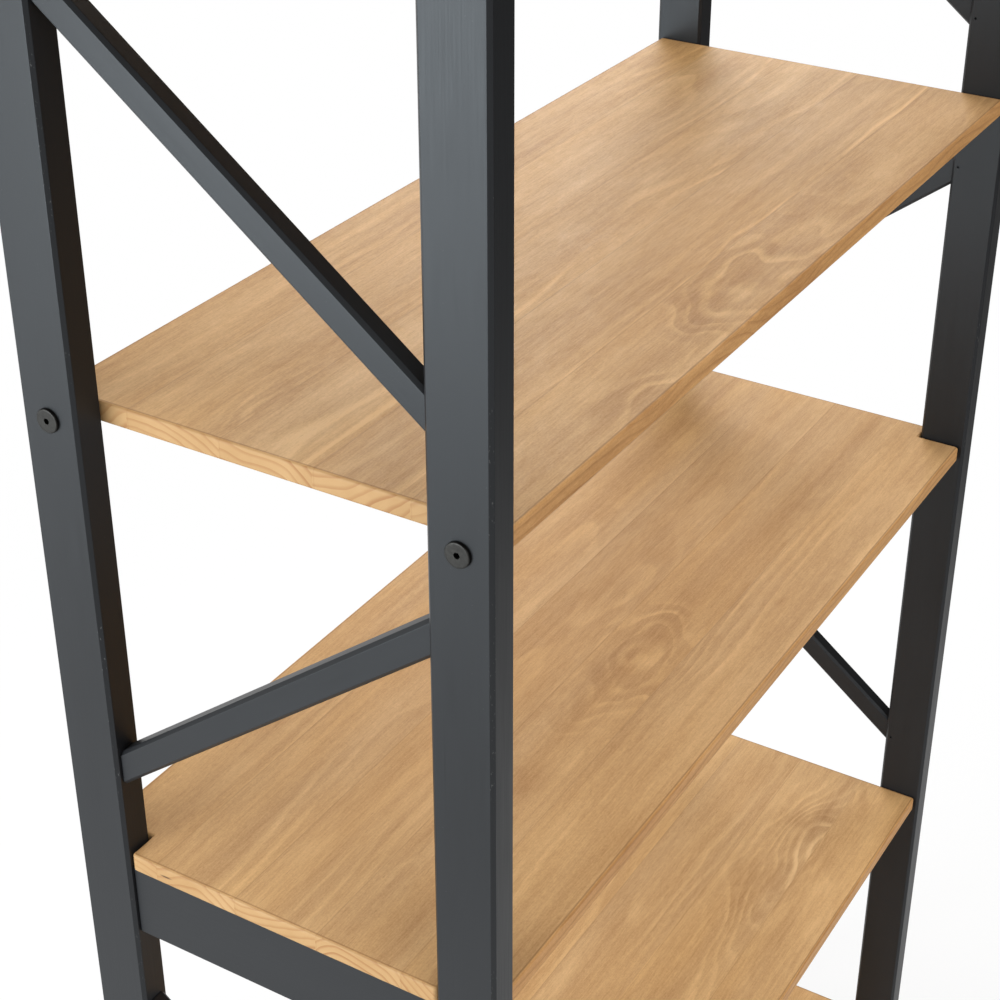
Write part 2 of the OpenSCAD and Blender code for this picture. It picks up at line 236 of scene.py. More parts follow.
def select_only(*objects):
    """Leaves just these objects selected, the first of them active."""
    bpy.ops.object.select_all(action="DESELECT")
    for obj in objects:
        obj.select_set(True)
    bpy.context.view_layer.objects.active = objects[0]


def settle(obj):
    """Puts an object's place, turn and scale into its mesh."""
    select_only(obj)
    bpy.ops.object.transform_apply(location=True, rotation=True, scale=True)


def block(name, low, high):
    """A squared piece of timber between two corners."""
    low, high = Vector(low), Vector(high)
    bpy.ops.object.select_all(action="DESELECT")
    bpy.ops.mesh.primitive_cube_add(size=1, location=(low + high) / 2)
    obj = bpy.context.object
    obj.name = obj.data.name = name
    obj.scale = high - low
    settle(obj)
    return obj


def rod(name, radius, start, end, sides=32):
    """A round bar between two points."""
    start, end = Vector(start), Vector(end)
    axis = end - start
    bpy.ops.object.select_all(action="DESELECT")
    bpy.ops.mesh.primitive_cylinder_add(
        vertices=sides, radius=radius, depth=axis.length, location=(start + end) / 2)
    obj = bpy.context.object
    obj.name = obj.data.name = name
    obj.rotation_euler = axis.to_track_quat("Z", "Y").to_euler()
    settle(obj)
    return obj


def level(edge, *axes):
    """True if an edge's two ends agree along these axes."""
    a, b = (vert.co for vert in edge.verts)
    return all(abs(a[axis] - b[axis]) < TINY for axis in axes)


def along(axis):
    """A test for edges that run along one axis."""
    others = [n for n in range(3) if n != axis]
    return lambda edge: level(edge, *others)


def square_to(axis, distance=None):
    """A test for edges that lie square to an axis, at one distance from the origin if given."""
    def test(edge):
        if not level(edge, axis):
            return False
        return distance is None or abs(abs(edge.verts[0].co[axis]) - distance) < TINY
    return test


def bevel(offset, segments):
    """In edit mode, bevels the selected edges."""
    bpy.ops.mesh.bevel(offset=offset, segments=segments, profile=0.5, affect="EDGES")


def ease(obj, test, offset, segments):
    """Chamfers the edges that pass a test, or rounds them in several segments."""
    select_only(obj)
    bpy.ops.object.mode_set(mode="EDIT")
    bpy.ops.mesh.select_mode(type="EDGE")
    bpy.ops.mesh.select_all(action="DESELECT")
    shape = bmesh.from_edit_mesh(obj.data)
    for edge in shape.edges:
        if test(edge):
            edge.select_set(True)
    bmesh.update_edit_mesh(obj.data)
    bevel(offset, segments)
    bpy.ops.object.mode_set(mode="OBJECT")


def crisp_lines(obj):
    """Rounds every sharp edge a little, as paint does."""
    select_only(obj)
    bpy.ops.object.mode_set(mode="EDIT")
    bpy.ops.mesh.select_mode(type="EDGE")
    bpy.ops.mesh.select_all(action="DESELECT")
    bpy.ops.mesh.edges_select_sharp(sharpness=SHARP_ANGLE)
    bevel(looks().crisp, 2)
    bpy.ops.object.mode_set(mode="OBJECT")


def carve(obj, *tools):
    """Takes the tools' shapes out of a piece."""
    select_only(*tools)
    if len(tools) > 1:
        bpy.ops.object.join()
    tool = bpy.context.view_layer.objects.active
    cut = obj.modifiers.new("cut", "BOOLEAN")
    cut.object = tool
    cut.operation = "DIFFERENCE"
    cut.solver = "EXACT"
    select_only(obj)
    bpy.ops.object.modifier_apply(modifier=cut.name)
    bpy.data.objects.remove(tool)


def slice_off(obj, point, outward):
    """Cuts a piece along a plane, drops what lies outward and closes the cut."""
    select_only(obj)
    bpy.ops.object.mode_set(mode="EDIT")
    bpy.ops.mesh.select_all(action="SELECT")
    bpy.ops.mesh.bisect(plane_co=point, plane_no=outward, use_fill=True, clear_outer=True)
    bpy.ops.object.mode_set(mode="OBJECT")


def copies(original, places, name):
    """Repeats a finished shape at each (place, turn about Z), as one piece."""
    made = []
    for place, turn in places:
        select_only(original)
        bpy.ops.object.duplicate()
        twin = bpy.context.object
        twin.location = place
        twin.rotation_euler.z = turn
        made.append(twin)
    bpy.data.objects.remove(original)
    select_only(*made)
    bpy.ops.object.join()
    piece = bpy.context.object
    piece.name = piece.data.name = name
    settle(piece)
    return piece


def hand_over(obj, node, material):
    """Gives a piece its finish and puts it in the place of its CAD node."""
    select_only(obj)
    bpy.ops.object.shade_smooth_by_angle(angle=SMOOTH_ANGLE)
    # Broad faces stay flat to the eye, and only their narrow edges turn the light
    flat = obj.modifiers.new("flat_faces", "WEIGHTED_NORMAL")
    flat.keep_sharp = True
    bpy.ops.object.modifier_apply(modifier=flat.name)
    obj.data.materials.clear()
    obj.data.materials.append(material)
    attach(obj, "root")
    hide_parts(node)


# ---- Node tools ----

class Recipe:
    """Builds the nodes of one material or world."""

    def __init__(self, owner):
        owner.use_nodes = True
        self.tree = owner.node_tree
        self.tree.nodes.clear()

    def node(self, kind, inputs=None, **settings):
        """Adds a node, with its settings and with values or links on its inputs."""
        made = self.tree.nodes.new(kind)
        for key, value in settings.items():
            setattr(made, key, value)
        for key, value in (inputs or {}).items():
            self.feed(made.inputs[key], value)
        return made

    def feed(self, socket, value):
        """Links an output to a socket, or writes a plain value on it."""
        if isinstance(value, bpy.types.NodeSocket):
            self.tree.links.new(value, socket)
        elif value is not None:
            socket.default_value = value

    def math(self, operation, a, b=None, clamp=False):
        made = self.node("ShaderNodeMath", operation=operation, use_clamp=clamp)
        self.feed(made.inputs[0], a)
        self.feed(made.inputs[1], b)
        return made.outputs[0]

    def plus(self, total, *others):
        for other in others:
            total = self.math("ADD", total, other)
        return total

    def times(self, product, *others):
        for other in others:
            product = self.math("MULTIPLY", product, other)
        return product

    def gap(self, a, b):
        """How far apart two values are."""
        return self.math("ABSOLUTE", self.math("SUBTRACT", a, b))

    def vector(self, operation, a, b=None):
        """Vector math, whose result is a plain value for a dot product or a length."""
        made = self.node("ShaderNodeVectorMath", operation=operation)
        self.feed(made.inputs[0], a)
        self.feed(made.inputs[1], b)
        return made.outputs["Value" if operation in ("DOT_PRODUCT", "LENGTH") else "Vector"]

    def scaled(self, vector, factors):
        return self.vector("MULTIPLY", vector, factors)

    def noise(self, vector, detail, roughness=0.5, scale=1.0):
        made = self.node("ShaderNodeTexNoise", {
            "Vector": vector, "Scale": scale, "Detail": detail, "Roughness": roughness})
        return made.outputs["Fac"]

    def remap(self, value, low, high, to_low=0.0, to_high=1.0, smooth=False):
        """Carries low to to_low and high to to_high, and stays between them beyond."""
        made = self.node("ShaderNodeMapRange", {
            0: value, 1: low, 2: high, 3: to_low, 4: to_high})
        made.interpolation_type = "SMOOTHSTEP" if smooth else "LINEAR"
        return made.outputs[0]

    def blend(self, factor, a, b, kind="MIX"):
        made = self.node("ShaderNodeMix", data_type="RGBA", blend_type=kind)
        self.feed(made.inputs[0], factor)
        self.feed(made.inputs[6], a)
        self.feed(made.inputs[7], b)
        return made.outputs[2]

    def steps(self, value, stops):
        """A colour that changes at once at each (position, colour)."""
        made = self.node("ShaderNodeValToRGB", {0: value})
        made.color_ramp.interpolation = "CONSTANT"
        elements = made.color_ramp.elements
        while len(elements) > 1:
            elements.remove(elements[-1])
        for n, (position, colour) in enumerate(stops):
            element = elements[0] if n == 0 else elements.new(position)
            element.position = position
            element.color = colour
        return made.outputs[0]

    def bump(self, height, distance, strength):
        made = self.node("ShaderNodeBump", {
            "Height": height, "Distance": distance, "Strength": strength})
        return made.outputs[0]


def rgba(colour, gain=1.0):
    """Three numbers as an opaque colour, lighter or darker by a gain."""
    return tuple(c * gain for c in colour) + (1.0,)


def grey(tone):
    """An opaque grey."""
    return rgba((tone,) * 3)


def new_material(name):
    """An empty material and the recipe that fills it."""
    material = bpy.data.materials.new(name)
    return material, Recipe(material)


def surface(r, **inputs):
    """Ends a material in a Principled shader."""
    shader = r.node("ShaderNodeBsdfPrincipled")
    for key, value in inputs.items():
        r.feed(shader.inputs[key.replace("_", " ")], value)
    out = r.node("ShaderNodeOutputMaterial")
    r.tree.links.new(shader.outputs[0], out.inputs[0])


# ---- Finishes ----

def nearest(r, value, marks):
    """The distance from a value to the nearest of several marks."""
    least = r.gap(value, marks[0])
    for mark in marks[1:]:
        least = r.math("MINIMUM", least, r.gap(value, mark))
    return least


def dust_specks(r, grain):
    """Pale specks that settled in the wet paint, here and there."""
    dots = r.node("ShaderNodeTexVoronoi", {"Vector": r.scaled(grain, (300, 300, 240)), "Scale": 1.0})
    areas = r.noise(r.scaled(grain, (120, 120, 90)), detail=0)
    return r.times(r.remap(dots.outputs["Distance"], 0.07, 0.02), r.remap(areas, 0.66, 0.7))


def chamfer_glints(r, place):
    """Painted highlights: small pale specks in runs along the posts' chamfers, standing in for the light
    that the chamfers catch.
    """
    xyz = r.node("ShaderNodeSeparateXYZ", {0: place}).outputs
    from_x = nearest(r, r.math("ABSOLUTE", xyz[0]), (INNER_X, OUTER_X))
    from_y = nearest(r, r.math("ABSOLUTE", xyz[1]), (INNER_Y, OUTER_Y))
    from_edge = r.math("MAXIMUM", from_x, from_y)
    near_edge = r.remap(from_edge, looks().post_ease + 0.9 * MM, looks().post_ease + 0.1 * MM)
    glints = r.noise(r.scaled(place, (900, 900, 420)), detail=2)
    runs = r.noise(r.scaled(place, (20, 20, 9)), detail=1)
    return r.times(r.remap(glints, 0.66, 0.72), r.remap(runs, 0.52, 0.62), near_edge)


def charcoal(name, turn=(0, 0, 0)):
    """Satin charcoal paint over timber whose grain runs along Z after the turn."""
    material, r = new_material(name)
    place = r.node("ShaderNodeTexCoord").outputs["Object"]
    grain = r.node("ShaderNodeMapping", {"Vector": place, "Rotation": turn}).outputs[0]
    brush = r.noise(r.scaled(grain, (900, 900, 16)), detail=3, roughness=0.6)
    timber = r.noise(r.scaled(grain, (260, 260, 5)), detail=4, roughness=0.55)
    cloud = r.noise(r.scaled(grain, (14, 14, 3)), detail=3)
    peel = r.noise(r.scaled(grain, (420, 420, 420)), detail=1)
    tone = r.plus(r.times(brush, 0.35), r.times(cloud, 0.65))
    body = r.blend(r.remap(tone, 0.3, 0.7), rgba(looks().paint, 0.82), rgba(looks().paint, 1.2))
    # Dust specks, together with painted highlights in runs along the posts' chamfers
    specks_and_glints = r.math("MAXIMUM", dust_specks(r, grain), chamfer_glints(r, place))
    rough = r.plus(r.remap(brush, 0.25, 0.75, 0.36, 0.47), r.remap(cloud, 0.3, 0.7, -0.03, 0.03))
    height = r.plus(r.times(brush, 0.35), r.times(timber, 0.65), r.times(peel, 0.12))
    surface(r, Base_Color=r.blend(r.times(specks_and_glints, 0.55), body, SPECK_AND_GLINT_GREY), Roughness=rough,
            Specular_IOR_Level=0.28, Specular_Tint=(0.92, 0.97, 1.0, 1),
            Normal=r.bump(height, 0.12 * MM, 0.5))
    return material


class ShelfWood(Recipe):
    """Stained pine for one shelf, in which the growth rings stay paler than the wood between."""

    def __init__(self, material, name):
        super().__init__(material)
        self.joints, self.boards, self.swirls = SHELF_BOARDS[name]
        self.cracked = name == CRACKED_SHELF
        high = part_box(name)[1]
        self.top_z = high.z
        self.flat_x = high.x - looks().shelf_round
        self.flat_y = high.y - looks().shelf_round
        self.place = self.node("ShaderNodeTexCoord").outputs["Object"]
        self.x, self.y, self.z = self.node("ShaderNodeSeparateXYZ", {0: self.place}).outputs
        self.find_boards()
        self.draw_grain()
        self.bend_rings()

    def find_boards(self):
        """Finds a point's board: its tone, its pith and its own stretch of a log."""
        stops = [(0.0, rgba(self.boards[0]))]
        for joint, board in zip(self.joints, self.boards[1:]):
            stops.append(((joint + BOARD_SPAN) / (2 * BOARD_SPAN), rgba(board)))
        across = self.remap(self.y, -BOARD_SPAN, BOARD_SPAN)
        facts = self.node("ShaderNodeSeparateColor", {0: self.steps(across, stops)}).outputs
        self.tone = facts[0]
        self.pith_y = self.remap(facts[1], 0, 1, -BOARD_SPAN, BOARD_SPAN)
        self.pith_z = self.remap(facts[2], 0, 1, self.top_z - PITH_REACH, self.top_z + PITH_REACH)
        shift = self.node("ShaderNodeCombineXYZ", {
            0: self.times(facts[0], 7.3), 1: self.times(facts[1], 5.1), 2: self.times(facts[2], 3.7)})
        self.log = self.vector("ADD", self.place, shift.outputs[0])

    def along_grain(self, factors, **settings):
        """Noise on the log's own coordinates, drawn out along the grain."""
        return self.noise(self.scaled(self.log, factors), **settings)

    def draw_grain(self):
        """Streaks, short fibres, speckle, clouds and patches, which several layers share."""
        self.streak = self.along_grain((8, 190, 190), detail=4, roughness=0.62)
        self.fibre = self.along_grain((75, 950, 950), detail=2, roughness=0.6)
        self.speckle = self.along_grain((520, 800, 800), detail=2, roughness=0.7)
        self.cloud = self.along_grain((9, 20, 20), detail=4, roughness=0.6)
        self.patch = self.along_grain((15, 28, 28), detail=3, roughness=0.55)

    def swirl(self, wobble, figure):
        """How strongly a covered knot pulls the rings round it, from 0 to 1."""
        middle_x, middle_y, reach, lean = figure
        offset = self.vector("SUBTRACT", self.place, (middle_x, middle_y, self.top_z))
        away = self.vector("LENGTH", self.scaled(offset, (SWIRL_STRETCH, 1.0, 0.25)))
        sideways = self.math("SUBTRACT", self.x, middle_x)
        away = self.plus(away, self.times(sideways, SWIRL_STRETCH * lean))
        away = self.plus(away, self.remap(wobble, 0.25, 0.75, -0.32 * reach, 0.32 * reach))
        away = self.math("MAXIMUM", away, 0.0)
        return self.math("EXPONENT", self.times(self.times(away, away), -1 / reach ** 2))

    def bend_rings(self):
        """Draws rings round the pith, bent by the tree's growth and by its knots."""
        dy = self.math("SUBTRACT", self.y, self.pith_y)
        dz = self.math("SUBTRACT", self.z, self.pith_z)
        radius = self.math("SQRT", self.plus(self.times(dy, dy), self.times(dz, dz)))
        bend = self.along_grain((2.6, 8, 8), detail=2)
        radius = self.plus(radius, self.remap(bend, 0.2, 0.8, -16 * MM, 16 * MM))
        wobble = self.along_grain((10, 22, 22), detail=1)
        pulls = [self.swirl(wobble, figure) for figure in self.swirls]
        self.pull = pulls[0]
        for pull in pulls[1:]:
            self.pull = self.math("MAXIMUM", self.pull, pull)
        for pull, figure in zip(pulls, self.swirls):
            radius = self.plus(radius, self.times(pull, 0.75 * figure[2]))
        wander = self.along_grain((7, 26, 26), detail=2)
        rings = self.plus(self.times(radius, 1 / RING_STEP), self.remap(wander, 0.2, 0.8, -0.4, 0.4))
        self.turn = self.math("FRACT", rings)
        whole = self.node("ShaderNodeCombineXYZ", {0: self.math("FLOOR", rings)}).outputs[0]
        self.year = self.noise(whole, detail=0, scale=3.7)
        self.brown = self.times(self.remap(self.turn, 0.50, 0.90, smooth=True),
                                self.remap(self.turn, 1.0, 0.95))

    def pale_rings(self):
        """Each year's pale ring, clear in some years and places and broken up in the swirls."""
        pale = self.times(self.remap(self.turn, 0.35, 0.82, smooth=True),
                          self.remap(self.turn, 1.0, 0.86, smooth=True))
        fade = self.along_grain((4.5, 20, 20), detail=3)
        clear = self.times(self.remap(self.year, 0.35, 0.65, 0.1, 1.0),
                           self.remap(fade, 0.42, 0.62, 0.06, 0.95))
        swirled = self.times(self.pull, self.remap(self.patch, 0.36, 0.62, 0.55, 0.10))
        return self.times(pale, self.plus(clear, swirled))

    def stained(self):
        """The colour of the long grain, from pale rings to the deepest stain."""
        band = self.along_grain((2.4, 30, 30), detail=3)
        depth = self.times(self.pale_rings(), -0.52)
        for layer, amount in ((band, 0.18), (self.streak, 0.16), (self.fibre, 0.13),
                              (self.speckle, 0.15), (self.cloud, 0.11)):
            depth = self.plus(depth, self.remap(layer, 0.25, 0.75, -amount, amount))
        depth = self.plus(depth, self.remap(self.tone, 0, 1, 0.34, 0.70))
        mottle = self.times(self.remap(self.pull, 0.08, 0.8, smooth=True),
                            self.remap(self.patch, 0.38, 0.66, 0.02, 0.28))
        depth = self.math("ADD", depth, mottle, clamp=True)
        colour = self.blend(depth, rgba(looks().pine_light), rgba(looks().pine_dark))
        warmth = self.remap(self.along_grain((2.2, 20, 20), detail=1), 0.35, 0.7, 0.0, 0.6)
        colour = self.blend(warmth, colour, self.blend(1.0, colour, WARM_TINT, "MULTIPLY"))
        pores = self.along_grain((95, 1700, 1700), detail=1)
        return self.blend(self.remap(pores, 0.70, 0.80, 0.0, 0.42), colour, PORE_BROWN)

    def with_sawn_ends(self, colour):
        """Adds the sawn ends, which are yellower and show the rings brown."""
        sawn = self.remap(self.math("ABSOLUTE", self.x), self.flat_x + 0.4 * MM, self.flat_x + 1.2 * MM)
        ends = self.blend(self.remap(self.cloud, 0.3, 0.7), END_PALE, END_DEEP)
        shown = self.times(self.brown, self.remap(self.year, 0.3, 0.7, 0.35, 0.8))
        ends = self.blend(shown, ends, END_RING)
        if self.cracked:
            ends = self.with_crack(ends)
        return self.blend(sawn, colour, ends)

    def with_crack(self, ends):
        """Adds a short dark drying crack to the left sawn end."""
        middle = (-self.flat_x, CRACK_Y, self.top_z - SHELF_T / 2)
        offset = self.vector("SUBTRACT", self.place, middle)
        off_crack = self.vector("LENGTH", self.scaled(offset, (0, 0.16, 1.0)))
        crack = self.remap(off_crack, 1.0 * MM, 0.4 * MM, 0.0, 0.85)
        on_left = self.remap(self.x, 0.0, -10 * MM)
        return self.blend(self.times(crack, on_left), ends, CRACK_BLACK)

    def with_edges(self, colour):
        """Darkens the long edges, the rim of the flat top and the glue lines."""
        soaked = self.remap(self.math("ABSOLUTE", self.y), self.flat_y + 0.3 * MM, self.flat_y + 1.4 * MM)
        tint = self.blend(self.times(self.brown, 0.55), EDGE_TINT, EDGE_RING_TINT)
        colour = self.blend(soaked, colour, self.blend(1.0, colour, tint, "MULTIPLY"))
        on_top = self.remap(self.z, self.top_z - 0.7 * MM, self.top_z - 0.4 * MM)
        off_rim = self.math("MINIMUM", self.gap(self.math("ABSOLUTE", self.x), self.flat_x),
                            self.gap(self.math("ABSOLUTE", self.y), self.flat_y))
        rim = self.remap(off_rim, 0.9 * MM, 0.3 * MM, smooth=True)
        colour = self.blend(self.times(rim, on_top, 0.5), colour, RIM_BROWN)
        glue = self.remap(nearest(self, self.y, self.joints), 0.7 * MM, 0.2 * MM, 0.0, 0.22)
        return self.blend(glue, colour, GLUE_BROWN)

    def finish(self):
        """Adds the edges and ends to the stained colour, and ends the material."""
        colour = self.with_edges(self.with_sawn_ends(self.stained()))
        rough = self.plus(self.remap(self.fibre, 0.3, 0.7, 0.48, 0.60),
                          self.remap(self.cloud, 0.3, 0.7, -0.02, 0.03))
        height = self.plus(self.times(self.fibre, 0.65), self.times(self.streak, 0.35),
                           self.times(self.speckle, 0.25))
        surface(self, Base_Color=colour, Roughness=rough, Specular_IOR_Level=0.22,
                Normal=self.bump(height, 0.1 * MM, 0.5))


def shelf_wood(name):
    """The stained pine of one shelf."""
    material = bpy.data.materials.new(f"pine_{name}")
    ShelfWood(material, name).finish()
    return material


def plated(name, colour, roughness, marks):
    """Steel with the fine marks of turning or wear, as strong as marks says."""
    material, r = new_material(name)
    place = r.node("ShaderNodeTexCoord").outputs["Object"]
    mottled = r.noise(r.scaled(place, (700, 700, 700)), detail=3)
    scratches = r.noise(r.scaled(place, (1500, 2600, 400)), detail=2)
    tint = r.blend(r.remap(mottled, 0.3, 0.7), rgba(colour, 0.8), rgba(colour, 1.2))
    rough = r.remap(scratches, 0.3, 0.7, roughness - 0.06, roughness + 0.08)
    surface(r, Base_Color=tint, Metallic=1.0, Roughness=rough,
            Normal=r.bump(mottled, 0.05 * MM, marks))
    return material


# ---- Pieces of the end frames ----

def rail_pin_heights(shelf_top):
    """Heights of the two pins through each tenon of the rail under a shelf."""
    middle = shelf_top - SHELF_T - RAIL_H / 2
    return [middle - PIN_SPACING / 2, middle + PIN_SPACING / 2]


def brace_middle(shelf_top, way):
    """Height of the middle of the brace that rises or falls from a bolted shelf."""
    return shelf_top - PAIR_DROP + way * (BRACE_FRONT_RISE + BAY / 2 - BRACE_BACK_GAP) / 2


def brace_pin_height(shelf_top, way, end):
    """Height of the pin through one tenon of a brace."""
    return brace_middle(shelf_top, way) + end * (INNER_Y + PIN_INSET) * math.tan(way * BRACE_ANGLE)


def pin_heights(end):
    """Heights of all the pins in one post."""
    heights = [z for shelf_top in RAIL_LEVELS.values() for z in rail_pin_heights(shelf_top)]
    for shelf_top in PAIR_LEVELS.values():
        heights += [brace_pin_height(shelf_top, way, end) for way in (DOWN, UP)]
    return heights


def make_post(side, end, paint):
    """A post with chamfered edges, nail holes inside and bolt holes right through."""
    name = f"post_{END_NAMES[end]}_{SIDE_NAMES[side]}"
    low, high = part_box(name)
    post = block(f"painted_{name}", low, high)
    ease(post, along(2), looks().post_ease, 1)
    ease(post, square_to(2), POST_END_EASE, 1)
    crisp_lines(post)
    pin_y = end * (INNER_Y + PIN_INSET)
    holes = []
    for height in pin_heights(end):
        mouth = (side * (INNER_X - OVERCUT), pin_y, height)
        seat = (side * (INNER_X + PIN_SINK + PIN_HEAD_T), pin_y, height)
        holes.append(rod("nail_hole", PIN_HEAD_D / 2 + PIN_PLAY, mouth, seat, sides=20))
    for shelf_top in PAIR_LEVELS.values():
        height = shelf_top - SHELF_T / 2
        inner = (side * (INNER_X - OVERCUT), end * POST_MID_Y, height)
        outer = (side * (OUTER_X + OVERCUT), end * POST_MID_Y, height)
        holes.append(rod("bolt_hole", BOLT_D / 2 + BOLT_PLAY, inner, outer))
    carve(post, *holes)
    hand_over(post, name, paint)


def make_rail(side, place, paint):
    """A rail between two posts, counterbored from below for its screws."""
    name = f"{place}_rail_{SIDE_NAMES[side]}"
    low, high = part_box(name)
    rail = block(f"painted_{name}", (low.x, -INNER_Y, low.z), (high.x, INNER_Y, high.z))
    ease(rail, along(1), looks().rail_ease, 1)
    ease(rail, square_to(1), JOINT_EASE, 1)
    crisp_lines(rail)
    tools = []
    for end in (FRONT, BACK):
        foot = Vector((side * POST_MID_X, end * SCREW_Y, low.z - OVERCUT))
        seat = (*foot.xy, high.z - (SCREW_LEN - SCREW_BITE))
        through = (*foot.xy, high.z + OVERCUT)
        tools.append(rod("counterbore", SCREW_HEAD_D / 2 + SCREW_PLAY, foot, seat))
        carve(rail, rod("clearance", SCREW_D / 2 + SCREW_PLAY, foot, through))
    carve(rail, *tools)
    hand_over(rail, name, paint)


def make_brace(side, place, way, paint):
    """A slanted brace, cut plumb against the posts at both ends."""
    name = f"{place}_brace_{'high' if way == UP else 'low'}_{SIDE_NAMES[side]}"
    middle = Vector((side * POST_MID_X, 0, brace_middle(PAIR_LEVELS[place], way)))
    # Longer than needed, so that both plumb cuts run right across it
    half_length = 1.4 * INNER_Y / math.cos(BRACE_ANGLE)
    reach = Vector((STOCK_T / 2, half_length, BRACE_W / 2))
    brace = block(f"painted_{name}", middle - reach, middle + reach)
    ease(brace, along(1), looks().brace_ease, 1)
    turn = Matrix.Rotation(way * BRACE_ANGLE, 4, "X")
    brace.data.transform(Matrix.Translation(middle) @ turn @ Matrix.Translation(-middle))
    for end in (FRONT, BACK):
        slice_off(brace, (0, end * INNER_Y, 0), (0, end, 0))
    ease(brace, square_to(1, INNER_Y), JOINT_EASE, 1)
    crisp_lines(brace)
    hand_over(brace, name, paint)


# ---- Shelves ----

def ease_board(board, stays_sharp):
    """Rounds a board's upright corners, bar those that stay sharp, then its lying edges."""
    upright = along(2)
    ease(board, lambda edge: upright(edge) and not stays_sharp(edge.verts[0].co),
         looks().corner_round, 4)
    ease(board, lambda edge: level(edge, 2) and edge.calc_face_angle(0) > NEARLY_SQUARE,
         looks().shelf_round, looks().segments)


def make_notched_shelf(name, wood):
    """A shelf with a notch round each post and screw holes below."""
    low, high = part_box(name)
    shelf = block(f"pine_{name}", low, high)
    notch_x, notch_y = INNER_X - NOTCH_GAP, INNER_Y - NOTCH_GAP
    notches = []
    for side, end in CORNERS:
        near = Vector((side * notch_x, end * notch_y, low.z - OVERCUT))
        far = Vector((side * (high.x + OVERCUT), end * (high.y + OVERCUT), high.z + OVERCUT))
        notches.append(block("notch", map(min, near, far), map(max, near, far)))
    carve(shelf, *notches)

    def inside_a_notch(corner):
        return abs(abs(corner.x) - notch_x) < TINY and abs(abs(corner.y) - notch_y) < TINY

    ease_board(shelf, inside_a_notch)
    holes = []
    for side, end in CORNERS:
        spot = (side * POST_MID_X, end * SCREW_Y)
        holes.append(rod("pilot", SCREW_D / 2, (*spot, low.z - OVERCUT), (*spot, low.z + SCREW_BITE)))
    carve(shelf, *holes)
    hand_over(shelf, name, wood)


def make_bolted_shelf(name, wood):
    """A plain shelf with barrel nut holes below and bolt bores in its ends."""
    low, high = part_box(name)
    shelf = block(f"pine_{name}", low, high)
    ease_board(shelf, lambda corner: False)
    axis = (low.z + high.z) / 2
    nut_holes = []
    bores = []
    for side, end in CORNERS:
        y = end * POST_MID_Y
        nut_holes.append(rod("nut_hole", NUT_D / 2 + NUT_PLAY, (side * NUT_X, y, low.z - OVERCUT),
                             (side * NUT_X, y, axis + NUT_LEN / 2 + NUT_PLAY), sides=48))
        bores.append(rod("bore", BOLT_D / 2 + BOLT_PLAY, (side * (high.x + OVERCUT), y, axis),
                         (side * (OUTER_X - BOLT_LEN - BORE_SPARE), y, axis)))
    carve(shelf, *nut_holes)
    carve(shelf, *bores)
    hand_over(shelf, name, wood)


# ---- Metal pieces ----

def select_face_at(obj, height):
    """In edit mode, selects the face that lies at a height."""
    bpy.ops.mesh.select_mode(type="FACE")
    bpy.ops.mesh.select_all(action="DESELECT")
    shape = bmesh.from_edit_mesh(obj.data)
    for face in shape.faces:
        if all(abs(vert.co.z - height) < TINY for vert in face.verts):
            face.select_set(True)
    bmesh.update_edit_mesh(obj.data)


def make_bolt():
    """A connector bolt along +X: flat head with a rounded rim and a turned ring, hex socket."""
    head = rod("bolt", BOLT_HEAD_D / 2, (0, 0, 0), (0, 0, BOLT_HEAD_T), sides=96)
    ease(head, square_to(2, BOLT_HEAD_T), 0.8 * MM, 3)
    select_only(head)
    bpy.ops.object.mode_set(mode="EDIT")
    select_face_at(head, BOLT_HEAD_T)
    # Each step is an inset and the height by which the face inside it then moves
    for inset, step in ((1.6, 0), (0.25, -0.04), (0.25, 0.04), (2.6, -0.08)):
        bpy.ops.mesh.inset(thickness=inset * MM)
        bpy.ops.transform.translate(value=(0, 0, step * MM))
    bpy.ops.object.mode_set(mode="OBJECT")
    socket = rod("socket", HEX_AF / 2 / math.cos(math.pi / 6),
                 (0, 0, BOLT_HEAD_T - HEX_DEPTH), (0, 0, BOLT_HEAD_T + OVERCUT), sides=6)
    shank = rod("shank", BOLT_D / 2, (0, 0, 2 * LAP), (0, 0, -BOLT_LEN))
    ease(shank, square_to(2, BOLT_LEN), 0.8 * MM, 1)
    select_only(head, shank)
    bpy.ops.object.join()
    carve(head, socket)
    head.data.transform(Matrix.Rotation(-math.pi / 2, 4, "Y"))
    return head


def make_bolts(side, metal):
    """The four connector bolts of one end frame."""
    turn = 0 if side == LEFT else math.pi
    places = [((side * OUTER_X, end * POST_MID_Y, shelf_top - SHELF_T / 2), turn)
              for shelf_top in PAIR_LEVELS.values() for end in (FRONT, BACK)]
    name = f"shelf_bolts_{SIDE_NAMES[side]}"
    bolts = copies(make_bolt(), places, f"plated_{name}")
    hand_over(bolts, name, metal)


def make_barrel_nuts(metal):
    """Slotted barrel nuts, upright in the bolted shelves."""
    nut = rod("nut", NUT_D / 2, (0, 0, -NUT_LEN / 2), (0, 0, NUT_LEN / 2), sides=48)
    ease(nut, square_to(2), 0.5 * MM, 2)
    hole = rod("hole", BOLT_D / 2 + NUT_BORE_PLAY, (-NUT_D, 0, 0), (NUT_D, 0, 0))
    slot = block("slot", (-NUT_D, -NUT_SLOT_W / 2, -NUT_LEN),
                 (NUT_D, NUT_SLOT_W / 2, NUT_SLOT_DEPTH - NUT_LEN / 2))
    carve(nut, hole)
    carve(nut, slot)
    places = [((side * NUT_X, end * POST_MID_Y, shelf_top - SHELF_T / 2), 0)
              for shelf_top in PAIR_LEVELS.values() for side, end in CORNERS]
    hand_over(copies(nut, places, "plated_barrel_nuts"), "barrel_nuts", metal)


